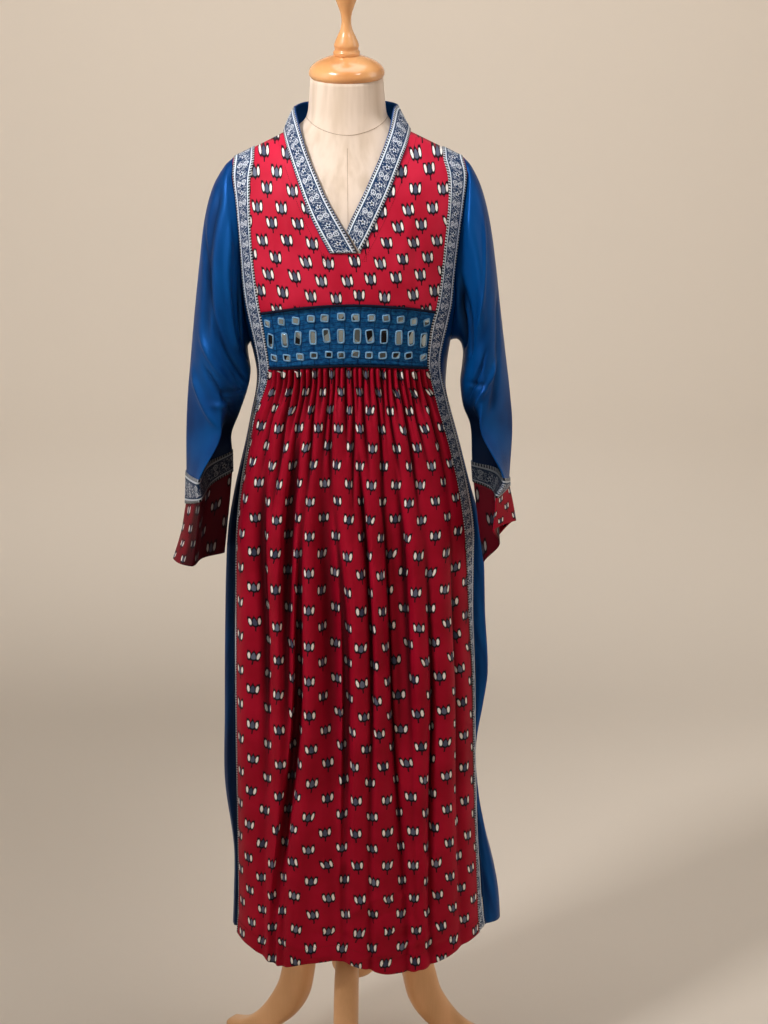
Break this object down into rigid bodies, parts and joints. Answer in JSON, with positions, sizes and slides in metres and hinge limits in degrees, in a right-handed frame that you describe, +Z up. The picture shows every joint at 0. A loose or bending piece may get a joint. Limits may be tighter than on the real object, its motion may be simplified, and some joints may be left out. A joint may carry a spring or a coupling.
{
  "type": "a-line kurti on a dress form",
  "caption": "Long a-line kurti with loose sleeves, a V neck, side trims and a mirror-work waist belt, on a limbless dress form with a turned wooden stand.",
  "frame": {"origin": "centre of the bounding box in X and Y, on the floor", "axes": "+Z up, -Y is the front of the kurti, +X is the wearer's left"},
  "size_m": [0.5214, 0.4356, 1.7803],
  "materials": {
    "red_print": "plain woven, matt, printed with small buds in staggered rows",
    "blue_satin": "satin",
    "belt_cloth": "stitched, set with small mirrors",
    "navy_piping": "matt",
    "silver_lace": "woven, slightly shiny",
    "form_cloth": "matt linen",
    "cap_wood": "varnished",
    "stand_wood": "satin varnish"
  },
  "bodies": {
    "root": {"back_panel": "red_print", "belt_piping_bottom": "navy_piping", "belt_piping_top": "navy_piping", "cuff_left": "red_print", "cuff_right": "red_print", "finial": "cap_wood", "form_torso": "form_cloth", "front_bodice": "red_print", "leg_back_left": "stand_wood", "leg_back_right": "stand_wood", "leg_front": "stand_wood", "neck_cap": "cap_wood", "neck_trim": "silver_lace", "neckband": "blue_satin", "side_panel_left": "blue_satin", "side_panel_right": "blue_satin", "side_trim_left": "silver_lace", "side_trim_right": "silver_lace", "skirt_front": "red_print", "sleeve_left": "blue_satin", "sleeve_right": "blue_satin", "sleeve_trim_left": "silver_lace", "sleeve_trim_right": "silver_lace", "stand_hub": "stand_wood", "stand_post": "stand_wood", "waist_belt": "belt_cloth"}
  },
  "joints": []
}
